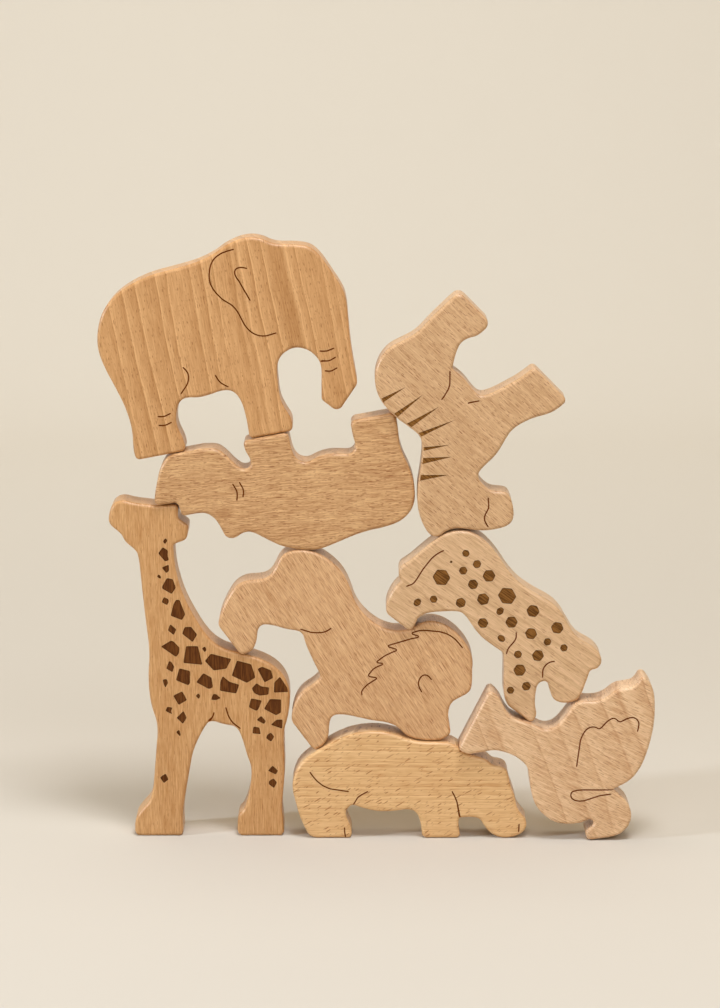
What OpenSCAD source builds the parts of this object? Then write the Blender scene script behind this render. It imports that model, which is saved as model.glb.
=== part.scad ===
// Animal balance game: eight animals cut from flat beech boards and stacked on
// edge into one pile. The hippo, the giraffe and the ostrich stand on the table.
// Each animal above them rests on the ones below at the tilt where it settles.
// X runs along the pile, Z is up and -Y is the engraved front of every board.

/* [Boards] */
// Thickness of every board
board_t = 18; // [15:0.5:22]
// Rounding along the edges of every board
edge_r = 1.5; // [0.8:0.1:1.6]
// Clearance where one animal rests on another
seat_gap = 0.2; // [0.1:0.05:0.4]

/* [Engraving] */
// Width of an engraved line
line_w = 0.6; // [0.4:0.05:1]
// Depth of an engraved line
line_depth = 0.4; // [0.2:0.05:0.8]
// Depth of the burnt patches, spots and stripes
patch_depth = 0.3; // [0.1:0.05:0.6]

/* [Animals] */
// Height of the elephant from its soles to its forehead
elephant_h = 86.7; // [82:0.1:90]
// Height of the rhino from its soles to its back
rhino_h = 53.3; // [51:0.1:56]
// Height of the zebra from its soles to its ears
zebra_h = 84; // [80:0.1:88]
// Height of the giraffe from its soles to its head
giraffe_h = 151.5; // [147:0.1:155]
// Height of the lion from its soles to its mane
lion_h = 82.7; // [80:0.1:86]
// Height of the hippo from its soles to its back
hippo_h = 48.5; // [46:0.1:51]
// Height of the leopard from its soles to its rump
leopard_h = 52.2; // [50:0.1:55]
// Height of the ostrich from its foot to its head
ostrich_h = 83.2; // [80:0.1:86]

/* [Pile] */
// Tilt at which the zebra leans on the rhino
zebra_tilt = 134.7; // [133:0.1:137]
// How far the elephant lies in front of the giraffe
elephant_forward = 1; // [0:0.5:4]
// How far the rhino lies in front of the giraffe
rhino_forward = 2; // [0:0.5:4]
// How far the zebra lies in front of the giraffe
zebra_forward = 5; // [0:0.5:7]
// How far the lion lies in front of the giraffe
lion_forward = 2; // [0:0.5:4]
// How far the hippo stands in front of the giraffe
hippo_forward = 4; // [0:0.5:6]
// How far the leopard lies in front of the giraffe
leopard_forward = 5; // [0:0.5:7]
// How far the ostrich stands in front of the giraffe
ostrich_forward = 8; // [0:0.5:9]

/* [Hidden] */
// Turn between neighbouring points of a curve, in degrees
curve_step = 15;
// Least straight stretch between a rounded corner and the curve beside it
corner_gap = 0.3;
// Flats in each quarter of the edge rounding
edge_steps = 2;
// Passes that fit a curve through its points
fit_passes = 7;
// Steps that halve the search for a resting tilt or place
seek_steps = 11;
// How far a cutter starts in front of the face
cut_clear = 1;

// Outlines, anticlockwise from the left sole, seen from the front, in mm.
// [x, y] is a point that the curve passes through.
// [x, y, r] is a corner that is rounded to the radius r.
ELEPHANT = [[-1, 0, 2], [21, 0, 2], [21, 5], [19.6, 11.5], [20.3, 17], [22.5, 21.3], [26, 22.8], [31, 22.1],
    [36, 22.3], [42, 23], [46.5, 21.5], [49, 16.5], [49.7, 9], [49.5, 0, 2], [68.5, 0, 2], [69, 5], [67.3, 10],
    [66, 15.5], [66.3, 22], [67.2, 28.5], [70, 33.2], [75.5, 35.5], [81, 34], [84.9, 29.8], [86, 25], [85, 19],
    [83.5, 11, 2.5], [89.6, 4.2, 3], [100.2, 15, 4], [100.3, 24], [100.6, 33], [101.5, 43], [102.2, 51],
    [101.6, 57], [98.5, 65], [94.8, 73], [90.8, 77.6], [84.5, 79.9], [76.5, 81.8], [70.5, 85.3], [63.8, 86.7],
    [56, 85.2], [49, 82.2], [41, 80.2], [31, 79.2], [20, 78.2], [10, 75.4], [2.5, 71.3], [-3.2, 65.3],
    [-6.6, 57.5], [-7.6, 50], [-6.3, 42], [-3.8, 33.5], [-1.3, 24], [-0.3, 14], [-1.2, 5]];
RHINO = [[0.5, 0, 2.5], [20.5, 0, 2.5], [20.4, 7], [20.3, 11.3], [22.6, 13.9], [26.5, 13.6], [31.5, 12.7],
    [37, 13], [42, 14.2], [45.8, 12.6], [47.6, 8.5], [48, 0, 2], [68, 0, 2], [67.7, 4.5], [66.5, 8.4], [67.3, 11.6],
    [70.3, 12], [73.3, 9.3], [76.3, 5], [80, 1.4], [86, 0, 10], [101, 0, 7], [105.6, 5], [108.6, 11.5],
    [110.2, 15.8], [111.6, 21.1, 1.9], [101.2, 21.4, 2.2], [100.5, 27.8, 1.9], [94, 27.8], [89.5, 28.8],
    [86.3, 32.4], [84.6, 37], [83.3, 40.3], [80, 41.5], [75.5, 40.1], [71.5, 40.7], [66.5, 44.4], [60, 49],
    [52, 52.1], [44, 53.3], [34, 51.5], [24, 49.6], [14, 49], [7, 47.6], [2, 44.3], [-0.8, 39.5], [-1.8, 33],
    [-1.3, 26], [0.3, 19.5], [1, 13.5], [0.6, 7]];
ZEBRA = [[-2.7, 0, 3.5], [18, 0, 2.2], [19, 7.5], [20.8, 14.5], [22.8, 20.7], [25.6, 25.2], [30.5, 25.8],
    [36, 25.2], [42.5, 25.9, 2], [46, 20.2], [47.7, 15.5], [46.9, 11.5], [45, 7.3], [44.7, 0, 4], [64.4, 0, 3.5],
    [64.8, 9], [64.8, 18], [64.7, 26], [66.4, 32.5], [68.2, 39], [67.5, 45.5], [64.2, 51.6], [58.5, 56.1],
    [52, 58.1], [44.5, 58.2], [37.5, 57.2], [31.5, 56.8], [27, 59.5], [21.5, 65.8], [16, 73], [9.3, 79.4],
    [2.5, 83], [-3, 84], [-6.2, 81.8], [-7, 77.8], [-9.3, 73.8], [-13.3, 70.3], [-17.5, 66.8], [-21.3, 62.2],
    [-23.9, 57], [-23.1, 52.8], [-19, 49.2], [-14.4, 47.2], [-11.2, 48.4], [-8, 51], [-4, 52], [0.3, 51.2],
    [2, 47.5], [2.1, 39], [3.8, 31.7], [4.8, 25.5], [2.8, 17.5], [-1, 10], [-2.4, 5]];
GIRAFFE = [[0, 0, 2.5], [21.6, 0, 2], [21.3, 8], [22, 15.5], [24.4, 29.5], [26.6, 39.5], [31.2, 49.2],
    [34.7, 52.1], [40, 50.8], [45.2, 49.3], [48, 44], [50.2, 36.5], [51.8, 31], [51.6, 24], [50.2, 17],
    [48.3, 12], [46, 8.5], [45.6, 0, 2.5], [66.4, 0, 2], [66, 7], [65.6, 14], [66.6, 28], [66.6, 38],
    [66.6, 47.5], [68.2, 54.5], [69.1, 62], [68.4, 68.5], [65.6, 74], [60.5, 78.4], [54, 81.3], [47.5, 83.1],
    [41, 85], [35.5, 88.2], [31, 93.4], [26.4, 101], [22.2, 110], [19.2, 121], [18.2, 131.8, 2],
    [24.2, 134.1, 3], [25, 140.3, 2], [20.4, 143.6, 2.2], [20.6, 149.8, 2], [15.7, 149.6], [11.5, 149.3],
    [6, 149.8], [0.5, 150.6], [-4.2, 151.5], [-8.2, 149.4], [-9.9, 144.5], [-9.2, 140.6], [-5, 136.7],
    [-2.8, 133.2], [0.8, 129.8], [2.8, 126], [4.1, 114], [5.7, 98], [7.1, 84], [6.7, 72], [7.8, 60],
    [10.3, 50], [9.6, 37], [8.4, 23.5], [6.6, 16.3], [2.8, 11.6], [0.3, 7]];
LION = [[1, 0, 4], [17.8, 0, 2.9], [18.9, 4.8], [16.8, 9.2], [13.2, 12.9], [12.8, 16.2], [16, 19.8],
    [20.6, 23.4], [25.3, 27.2], [31, 25.9], [38, 24.2], [46.4, 22.6, 2], [47, 17.5], [46.9, 12.5], [48.3, 7.6],
    [51.3, 3.3], [54.8, 0, 5], [71.6, 0, 2.5], [72, 4.6], [70, 9], [66.4, 12.2], [64.1, 15.8], [66, 19.9],
    [71, 24.6], [76, 29], [80.4, 33.3], [85, 35.9], [89.8, 36.8], [94, 39.1], [98.1, 43.3], [101.2, 48.4],
    [101.4, 53.2, 2.2], [96, 56], [92.2, 58.9], [90.4, 62.8], [91, 68], [90.7, 71.7], [88, 74.7], [84.3, 77.5],
    [80.6, 80.4], [76, 82.2], [70, 82.7], [63.5, 81.6], [57.8, 78.8], [54.3, 74.8], [53.2, 70.4], [52.4, 66],
    [49, 60.8], [43.8, 57], [37, 54.9], [29.5, 54.7], [22.5, 56.6], [15, 58], [7.5, 57], [1.2, 54.4],
    [-3.9, 50.1], [-6.8, 44.8], [-6.8, 39.8], [-4.4, 34.8], [-3.4, 30.6], [-4.7, 26.8], [-7.2, 22.8],
    [-8.4, 18.5], [-7.7, 14], [-5.2, 8.4], [-2.3, 3.7]];
HIPPO = [[0.2, 0, 5], [18.8, 0, 1.9], [18.5, 4.2], [17, 8], [16.3, 12], [18.9, 14.8], [23, 13.8], [30, 12.2],
    [37, 12.2], [43.7, 12.9], [47.3, 11.3], [49.1, 7], [50, 0, 2.5], [67, 0, 1.8], [66.1, 5.1], [66.3, 9.3, 1.5],
    [74.3, 9], [77.5, 5.4], [81.7, 1.3], [87, 0], [92.4, 1.2], [95.7, 4.3], [95.7, 8.3], [93.3, 11.6],
    [91.6, 15], [90.6, 19.5], [88.8, 24.5], [87.9, 28.5], [86.6, 31.4], [83.8, 32.6], [81, 33.3], [78.3, 35.5],
    [73.5, 37.2], [69, 38.7], [65.3, 41.6], [61, 43.3], [54, 43.5], [48, 43.9], [42, 45.5], [36, 47.6],
    [29, 48.5], [21, 47.8], [13, 45.1], [6, 41.1], [0.5, 37.8], [-4.3, 33.4], [-6.8, 28], [-7.4, 22.5],
    [-6, 16], [-3.9, 9]];
LEOPARD = [[3, 0, 4], [16.8, 0, 2.1], [16.1, 4.9], [15.6, 7.3], [17.6, 11.3], [22, 15.6], [27.6, 19.9],
    [31.7, 20.3], [37.5, 18.5], [44, 17.2], [54.7, 17.5, 2.5], [59.3, 12.2], [64, 6], [67.6, 2.1], [71, 0, 3],
    [84.6, 0, 2.1], [83.6, 4.4], [80.6, 7.4], [77.2, 12.2], [75.8, 16.2], [77.9, 18.8], [81.2, 16.9], [85.5, 14.7],
    [90, 16.1], [93.4, 19.8], [93.5, 24], [91.3, 31], [90.3, 34.7], [91.8, 37.2], [91.6, 40.7], [88.4, 43.2],
    [83.5, 43.9], [76, 43.2], [69, 45.4], [63, 47.7], [57, 48.3], [49, 47.2], [41, 46.8], [34, 48],
    [27, 50.3], [19.5, 52.1], [12, 51.9], [6.2, 49.2], [2, 44.5], [-0.4, 38.5], [-1.9, 32], [-3.4, 25],
    [-4.7, 20.6], [-3.4, 17.4], [-0.8, 15.4, 1], [-1.1, 10], [0.2, 4.3]];
OSTRICH = [[-0.7, 0, 2.2], [29.8, 0, 1.9], [29.9, 4.3], [28.2, 7.4], [25.2, 11.3], [22.7, 15.3], [21.4, 21.5],
    [21.8, 27], [23.9, 31.6], [29, 35.2], [34.5, 39.5], [38.2, 44.5], [40, 51.5], [38.8, 57.5], [35.7, 63],
    [33.3, 65.2], [31.8, 67.2], [33.4, 68.8], [37.8, 67.7], [40.7, 70.3, 1.8], [37.7, 74.6], [34.6, 78.9],
    [31, 82], [26, 83.2], [21.3, 81.7], [17.4, 77.5], [15.9, 73.2], [14.9, 69.6, 0.6], [9, 73.7], [3.5, 75.4],
    [-3, 75.5], [-13, 73.7], [-22, 70.7], [-30, 66.5], [-34.5, 62.3], [-37, 56.9, 2], [-31.3, 56.3],
    [-28.4, 53.6], [-25.2, 49.8], [-20, 47.1], [-16.4, 43.3], [-14, 38.8], [-9.9, 36.2], [-3.2, 34.9],
    [1.8, 33.2], [4.5, 29.6], [4.9, 24.2], [5.9, 18.2], [5.9, 13.7], [3.6, 9.2], [0.9, 5.2]];

// Engraved lines, each a curve through its points, in the frame of its animal
ELEPHANT_LINES = [
    [[58.8, 82.7], [53, 82], [48.5, 79.2], [46.1, 74], [46.2, 68.5], [49.5, 62.5], [53, 59.3], [55.4, 55],
        [57, 49.5], [60, 45.2], [64.5, 43.2], [69.9, 43.6]],
    [[62.8, 73.4], [60.3, 74.4], [57.8, 74], [57.2, 71.2], [59.5, 66], [61.4, 59.5]],
    [[86.7, 32.3], [90, 31.7], [93.3, 32.4]],
    [[86.7, 28], [90, 27.4], [93.2, 28.4]],
    [[87.3, 23.4], [90, 22.8], [93, 23.7]],
    [[12, 17.3], [14.7, 16.8], [18, 17.6]],
    [[11.7, 13.4], [14.5, 12.9], [17.6, 13.7]],
    [[27, 36.5], [28.7, 33.2], [27.6, 29], [23.8, 25]],
    [[40.2, 30.5], [41.8, 26.8], [44.9, 24.2]]];
RHINO_LINES = [
    [[72.7, 24.3], [71.9, 21], [73, 17.4]],
    [[75.6, 25.3], [74.8, 21.3], [76, 17.6]]];
ZEBRA_LINES = [
    [[36.1, 38.7], [36.8, 35], [38.5, 31.3], [42.6, 27.2]],
    [[27, 31.7], [26, 29.8], [24.2, 27.3]],
    [[-18.3, 63.5], [-15, 62.5], [-13.3, 60.3], [-12.2, 57.3], [-9, 54.5]]];
GIRAFFE_LINES = [
    [[35.6, 56.5], [34.9, 54.4], [33, 52.6]],
    [[40.8, 58.8], [42, 54.8], [44, 51.6], [47.3, 49]]];
LION_LINES = [
    [[31.6, 39.4], [31.1, 35.7], [28, 31.2], [23.8, 28.1]],
    [[73.3, 80.4], [68, 80], [63.5, 78.3], [59, 74.3], [55.5, 69.6], [54.3, 65.8, 0.4], [58.3, 68.7, 0.4],
        [54.7, 60.8], [52.6, 54, 0.4], [57, 57.1, 0.4], [55.6, 50.8], [55.7, 45.8, 0.4], [58.6, 48.9, 0.4],
        [57.4, 43.6], [58.5, 39.2, 0.6], [61.9, 42.5, 0.4], [61.5, 36.8], [62.4, 33.2], [64, 32.1]],
    [[76.7, 60.9], [74, 60.6], [72.7, 58.7], [73.7, 56], [76, 54.5], [78.6, 54.1]]];
HIPPO_LINES = [
    [[0.2, 30.3], [3.5, 26], [9, 22.6], [17.5, 21.3]],
    [[26, 21.4], [21.5, 18.8], [18.3, 15]],
    [[63, 21.5], [65.3, 16.5], [66.3, 10]],
    [[45.1, 13.8], [45.8, 12.6]],
    [[15.6, 5], [15.6, 2.6], [16.2, 0.6]],
    [[92.8, 6.6], [92.6, 2.8]]];
LEOPARD_LINES = [
    [[5.8, 37.9], [4.2, 34.2], [3.5, 28.7], [4, 22.7], [4.2, 18], [2.5, 15]],
    [[53.4, 28.4], [55.2, 25.5], [55.2, 20.7], [56.1, 17.9]],
    [[75, 28.5], [73.2, 26.2], [73.1, 22.6], [75.3, 19.4]]];
OSTRICH_LINES = [
    [[-13, 66.8], [-16.8, 65.5], [-18, 62.8], [-16.3, 60], [-13.6, 57.8], [-13.8, 54.9], [-11, 52.7],
        [-7, 51.5], [-6.5, 49.2], [-4.8, 46.8], [-1, 45.9], [5, 47], [13.2, 50.2]],
    [[15.2, 69.2], [17.5, 65], [20, 59.8], [22.6, 55.2], [24.9, 53.6], [26.9, 55.2], [26.4, 58.6], [23.9, 61.9],
        [20.3, 65.2], [17.2, 69.6]]];

// Burnt patches of the giraffe, each a polygon of its corners
GIRAFFE_PATCHES = [
    [[13.6, 130.8], [11.6, 128], [14.6, 124.4], [16.3, 125], [15.7, 127.2], [15.9, 129.3]],
    [[15.3, 117], [13.1, 113], [13.3, 112.2], [17.4, 109.8], [19.2, 112.7], [17.9, 116.5]],
    [[19.2, 107.2], [18, 105], [16.8, 100.1], [21.8, 98.1], [23.2, 100.7], [20.8, 107.2]],
    [[22.9, 95], [21.8, 92], [26.4, 88.2], [28.4, 91.6], [25.8, 95.1]],
    [[16.8, 88.9], [12.4, 86.2], [19, 81.5], [20.3, 83], [20.6, 85.7], [18, 88.5]],
    [[23.5, 86.4], [22.2, 78.8], [30.6, 78], [28.7, 86.4]],
    [[34.4, 83], [31.7, 79.7], [35.6, 75.4], [41.2, 76.2], [43.4, 80.6]],
    [[45.9, 79.9], [43.5, 73.1], [50.2, 69.8], [54, 72.2], [52.2, 78.2]],
    [[57, 77.1], [54.9, 76.1], [58, 70], [61.8, 72], [60.9, 75.5]],
    [[64.8, 72.6], [62.3, 70], [62.1, 65.4], [68.2, 65.6]],
    [[20.4, 76.4], [18.9, 71], [24.3, 68.7], [25.1, 69.7], [25.1, 75.2]],
    [[31, 74.2], [27.8, 70.1], [33.4, 67], [35.2, 67.8], [34.6, 72.2]],
    [[39.6, 72.8], [38.5, 70.5], [38.3, 66.2], [45.5, 65], [46.8, 69], [42.5, 70.3]],
    [[54.5, 69.7], [52.3, 67.3], [53.4, 65.2], [55.8, 64], [59.7, 64.5], [60, 67.8], [56.5, 68.2]],
    [[21.6, 66], [17.6, 64], [20, 59.8], [23.7, 62]],
    [[52, 62.8], [51, 58.8], [54.3, 57.1], [55.2, 57.8], [56.8, 61.8]],
    [[60.3, 62.5], [57.7, 58], [63, 55.1], [65.2, 56.3], [65.3, 62.3]],
    [[22.1, 57.1], [19, 54], [21.8, 51.2], [23.5, 54]],
    [[65.9, 53.2], [63.2, 53.1], [60.7, 50.8], [65.7, 49]],
    [[14.9, 134.9], [13.7, 133.4], [14.6, 132.1], [15.8, 133.7]],
    [[16.2, 123], [13.1, 121.7], [15, 119.2], [16.3, 120.1]],
    [[11.7, 118.7], [10.9, 117.6], [12.5, 116.6], [12.8, 117.6]],
    [[13.9, 108.5], [12.9, 106.2], [15.3, 104.8], [16.1, 106.3], [15.9, 107.5]],
    [[16.6, 96.3], [15.5, 93.5], [18.1, 91.4], [19.3, 93.9]],
    [[31.9, 86.3], [30.4, 85.4], [31.7, 83.6], [32.5, 84.6]],
    [[15.9, 79.6], [14.6, 76.3], [17.4, 74.6], [18.2, 77.2], [16.8, 79.5]],
    [[14.8, 71.6], [13, 71.2], [13.5, 69.1], [14.2, 67.6], [15.4, 69.8]],
    [[28.8, 65.1], [27.5, 64], [28.9, 62.4], [29.6, 63.9]],
    [[35.2, 64.7], [34.3, 62.2], [36.5, 62], [38.6, 62.9], [36.5, 64.8]],
    [[14.9, 59], [14.1, 57.1], [17.1, 55.6], [16.6, 57.1], [17.3, 58.6]],
    [[56.4, 54.9], [54.4, 53], [57.7, 51.1], [58.5, 52.5]],
    [[53, 50], [52.5, 46.9], [56.2, 46.5], [55.6, 49.6]],
    [[60.7, 47.3], [59, 46.2], [58.6, 44.6], [60.8, 43.1], [62.2, 45.4]],
    [[20.1, 48.6], [18.7, 47.5], [20.4, 45.5], [20.8, 46.2]],
    [[61.4, 32.2], [59.3, 29.9], [62.8, 28.1], [63.8, 29.9]],
    [[61.8, 26.4], [59.8, 25.2], [59.6, 23.8], [62, 21.9], [63.3, 24.5]],
    [[13.9, 28.6], [11.4, 26.8], [13.1, 24.2], [15.2, 25.9]]];
// Burnt spots of the leopard: x, y, width, height, turn, corners
LEOPARD_SPOTS = [[14.2, 42.7, 3.6, 3.4, 0, 6], [21, 41.9, 3.9, 4, 15, 6], [28.4, 41, 5.8, 5.8, 10, 6],
    [40.2, 38.8, 8.4, 7.8, 5, 6], [53.4, 40.4, 6, 5.8, 0, 6], [66.5, 41, 5.8, 5.6, 0, 6],
    [74.4, 35.7, 3.6, 3.6, 20, 6], [11.4, 35.8, 1.2, 1.2, 0, 6], [18, 35.9, 3.9, 4, 10, 6],
    [25.2, 33.7, 4.8, 4.7, 15, 6], [32.8, 31.2, 5.8, 5.6, 20, 6], [42, 31.5, 3.3, 4.1, 30, 6],
    [49, 30.7, 5.6, 5.6, 10, 6], [59, 31.9, 5.6, 5.4, 0, 6], [67, 33.4, 3.6, 3.8, 15, 6],
    [12.3, 27.7, 8, 7.6, 5, 6], [67.5, 26, 5.4, 5.6, 0, 6], [26, 23.9, 4.7, 4.8, 25, 6],
    [39.3, 22.7, 5, 4.8, 10, 6], [50, 22.2, 4, 3.1, 0, 6], [60.2, 21, 3.8, 3.8, 20, 6],
    [15.6, 17.9, 3.7, 3.6, 10, 6], [65.2, 15.9, 5.7, 5.8, 5, 6], [72, 12, 4.2, 4.4, 15, 6],
    [10.8, 12.4, 3.3, 4.2, 30, 6], [67.6, 6.3, 3.6, 3.6, 10, 6]];
// Burnt stripes of the zebra: root x, y, tip x, y, width at the root
ZEBRA_STRIPES = [[17.4, 69.4, 10.5, 59.8, 2.8], [21.7, 63, 15, 53, 3], [26.3, 60.3, 19.3, 49.8, 2.2],
    [32.4, 56, 25.7, 40.7, 3], [38.9, 56.8, 34.7, 41.5, 2.8], [45.6, 57.4, 43.4, 43, 2.3],
    [54, 57, 51, 45.7, 2]];

function flat(p) = [p.x, p.y];
function unit(v) = v / norm(v);
function outward(v) = [v.y, -v.x];
function turned(p, a) = [p.x * cos(a) - p.y * sin(a), p.x * sin(a) + p.y * cos(a)];
function turn_between(u, v) = atan2(u.x * v.y - u.y * v.x, u * v);

// Corners of the polygon whose smooth curve passes through the given points.
// Neighbours of the two ends of an open line are the ends themselves.
function fitted(points, passes = fit_passes) = passes == 0 ? points :
    let (c = fitted(points, passes - 1), n = len(points))
    [for (i = [0:n - 1]) len(points[i]) == 3 ? points[i] :
        (8 * points[i] - flat(c[(i + n - 1) % n]) - flat(c[(i + 1) % n])) / 6];

// Points of one rounded corner, each with its outward normal
function arc_points(a, c, b, r) =
    let (u = unit(c - a), v = unit(b - c), turn = turn_between(u, v), side = sign(turn),
        cut = min(r * tan(abs(turn) / 2), norm(c - a) / 2 - corner_gap, norm(b - c) / 2 - corner_gap),
        bend = cut / tan(abs(turn) / 2), centre = c - u * cut - side * bend * outward(u),
        steps = max(1, ceil(abs(turn) / (2 * curve_step))))
    [for (k = [0:steps]) let (n = turned(outward(u), turn * k / steps)) [centre + side * bend * n, n]];

// Points of one smooth bend from a to b, pulled towards c, without its end
function bend_points(a, c, b) =
    let (steps = max(1, ceil(abs(turn_between(c - a, b - c)) / curve_step)))
    [for (k = [0:steps - 1]) let (t = k / steps)
        [(1 - t) * (1 - t) * a + 2 * t * (1 - t) * c + t * t * b,
            outward(unit((1 - t) * (c - a) + t * (b - c)))]];

// Closed outline through the points, as pairs of a point and its outward normal
function outline(points) =
    let (c = fitted(points), n = len(points))
    [for (i = [0:n - 1])
        let (p = flat(c[(i + n - 1) % n]), q = flat(c[i]), s = flat(c[(i + 1) % n]),
            before = (p + q) / 2, after = (q + s) / 2, rounded = len(points[i]) == 3,
            lead = rounded && len(points[(i + n - 1) % n]) == 2 ? [[before, outward(unit(q - p))]] : [])
        each concat(lead, rounded ? arc_points(p, q, s, points[i][2]) : bend_points(before, q, after))];

// Open engraved line through the points, in the same form
function stroke(points) =
    let (last = len(points) - 1, ends = [for (i = [0:last])
            i == 0 || i == last ? concat(flat(points[i]), [0]) : points[i]],
        c = fitted(ends), first = flat(c[0]), final = flat(c[last]))
    concat([[first, outward(unit(flat(c[1]) - first))]],
        [for (i = [1:1:last - 1])
            let (p = flat(c[i - 1]), q = flat(c[i]), s = flat(c[i + 1]))
            each len(ends[i]) == 3 ? arc_points(p, q, s, ends[i][2])
                : bend_points((p + q) / 2, q, (q + s) / 2)],
        [[final, outward(unit(final - flat(c[last - 1])))]]);

function sized(pairs, k) = [for (p = pairs) [p[0] * k, p[1]]];
function points_of(pairs) = [for (p = pairs) p[0]];
function top_of(pairs) = max([for (p = pairs) p[0].y]);
function left_of(points) = min([for (p = points) p.x]);
function right_of(points) = max([for (p = points) p.x]);

// A pose is [x, z, tilt]: where the origin of an animal lies and how far it leans left
function placed(p, pose) = turned(p, pose[2]) + [pose.x, pose.y];
function posed(pairs, pose) = [for (p = pairs) placed(p[0], pose)];

// Edges that face down or up, each from its left end to its right end
function edges_below(points) = let (n = len(points))
    [for (i = [0:n - 1]) if (points[i].x < points[(i + 1) % n].x) [points[i], points[(i + 1) % n]]];
function edges_above(points) = let (n = len(points))
    [for (i = [0:n - 1]) if (points[i].x > points[(i + 1) % n].x) [points[(i + 1) % n], points[i]]];
function height_at(edge, x) =
    edge[0].y + (edge[1].y - edge[0].y) * (x - edge[0].x) / (edge[1].x - edge[0].x);

// How far the lower edges must rise to clear every upper edge beneath them
function rise(lower, upper) = max(concat([-far_away], [for (l = lower, u = upper)
    let (left = max(l[0].x, u[0].x), right = min(l[1].x, u[1].x))
    if (left < right) max(height_at(u, left) - height_at(l, left), height_at(u, right) - height_at(l, right))]));

// How far the left and the right part of a tilted animal must rise, by its two contacts
function rises(pairs, left, seat_x, right, tilt, upper) =
    let (x = seat_x - turned(left, tilt).x, lower = edges_below(posed(pairs, [x, 0, tilt])),
        split = x + (turned(left, tilt).x + turned(right, tilt).x) / 2)
    [rise([for (e = lower) if (e[0].x < split) e], upper), rise([for (e = lower) if (e[0].x >= split) e], upper)];

// Tilt at which an animal rests on its left and its right contact at once
function resting_tilt(pairs, left, seat_x, right, low, high, upper, steps = seek_steps) =
    let (tilt = (low + high) / 2)
    steps == 0 ? tilt :
    let (both = rises(pairs, left, seat_x, right, tilt, upper))
    both[0] > both[1] ? resting_tilt(pairs, left, seat_x, right, low, tilt, upper, steps - 1)
        : resting_tilt(pairs, left, seat_x, right, tilt, high, upper, steps - 1);

// Pose of an animal that comes down on its carriers with its left contact above seat_x
function settled(pairs, k, seat, seat_x, carriers) =
    let (left = seat[0] * k, right = seat[1] * k, low = seat[2] - tilt_range, high = seat[2] + tilt_range,
        upper = [for (c = carriers) each edges_above(c)],
        tilt = resting_tilt(pairs, left, seat_x, right, low, high, upper))
    [seat_x - turned(left, tilt).x, max(rises(pairs, left, seat_x, right, tilt, upper)) + seat_gap, tilt];

// Pose of an animal with a set tilt, slid along X until it touches on its left and its right
function leaning(pairs, left, right, tilt, low, high, upper, steps = seek_steps) =
    let (x = (low + high) / 2, both = rises(pairs, left, x, right, tilt, upper))
    steps == 0 ? [x - turned(left, tilt).x, max(both) + seat_gap, tilt] :
    both[0] > both[1] ? leaning(pairs, left, right, tilt, x, high, upper, steps - 1)
        : leaning(pairs, left, right, tilt, low, x, upper, steps - 1);

// Place along X at which a standing animal just touches what leans over it
function slid(pairs, low, high, lower, steps = seek_steps) =
    let (x = (low + high) / 2)
    steps == 0 ? low :
    rise(lower, edges_above(posed(pairs, [x, 0, 0]))) < -seat_gap ? slid(pairs, x, high, lower, steps - 1)
        : slid(pairs, low, x, lower, steps - 1);

// Triangles that fill a ring of points, as the numbers of their corners
function within(p, a, b, c) =
    cross(b - a, p - a) >= 0 && cross(c - b, p - b) >= 0 && cross(a - c, p - c) >= 0;
function is_ear(ring, ids, i) =
    let (n = len(ids), a = ring[ids[(i + n - 1) % n]], b = ring[ids[i]], c = ring[ids[(i + 1) % n]])
    cross(b - a, c - b) > 0 && len([for (k = [2:1:n - 2]) if (within(ring[ids[(i + k) % n]], a, b, c)) k]) == 0;
function next_ear(ring, ids, i, tries) =
    tries == 0 || is_ear(ring, ids, i) ? i : next_ear(ring, ids, (i + 1) % len(ids), tries - 1);
function filled(ring, ids, from = 0, done = []) =
    let (n = len(ids))
    n == 3 ? concat(done, [ids]) :
    let (i = next_ear(ring, ids, from % n, n))
    filled(ring, [for (k = [0:n - 1]) if (k != i) ids[k]], i + 1,
        concat(done, [[ids[(i + n - 1) % n], ids[i], ids[(i + 1) % n]]]));

elephant_raw = outline(ELEPHANT);
rhino_raw = outline(RHINO);
zebra_raw = outline(ZEBRA);
giraffe_raw = outline(GIRAFFE);
lion_raw = outline(LION);
hippo_raw = outline(HIPPO);
leopard_raw = outline(LEOPARD);
ostrich_raw = outline(OSTRICH);

// Sizes of the animals against the listed points
elephant_k = elephant_h / top_of(elephant_raw);
rhino_k = rhino_h / top_of(rhino_raw);
zebra_k = zebra_h / top_of(zebra_raw);
giraffe_k = giraffe_h / top_of(giraffe_raw);
lion_k = lion_h / top_of(lion_raw);
hippo_k = hippo_h / top_of(hippo_raw);
leopard_k = leopard_h / top_of(leopard_raw);
ostrich_k = ostrich_h / top_of(ostrich_raw);

elephant_edge = sized(elephant_raw, elephant_k);
rhino_edge = sized(rhino_raw, rhino_k);
zebra_edge = sized(zebra_raw, zebra_k);
giraffe_edge = sized(giraffe_raw, giraffe_k);
lion_edge = sized(lion_raw, lion_k);
hippo_edge = sized(hippo_raw, hippo_k);
leopard_edge = sized(leopard_raw, leopard_k);
ostrich_edge = sized(ostrich_raw, ostrich_k);

// The table top, wide enough for the whole pile
table = [[300, 0], [-300, 0], [-300, -10], [300, -10]];
// How far a resting tilt may differ from the tilt that is expected
tilt_range = 7;
// How far the search for the place of the giraffe starts to the left
slide_range = 16;
// How far the search for the place of the zebra reaches to each side
lean_range = 4;
// Further than any two edges lie apart
far_away = 1000;

// Left contact, right contact and expected tilt of each animal that lies on others
LION_SEAT = [[71.6, 0], [97, 44], -53.5];
OSTRICH_SEAT = [[29.8, 0], [38.3, 74.8], -117];
LEOPARD_SEAT = [[16.8, 0], [84.8, 0], -38];
RHINO_SEAT = [[108, 21], [50, 53], 190.3];
ZEBRA_SEAT = [[46.5, 58.1], [-10, 73]];
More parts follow.
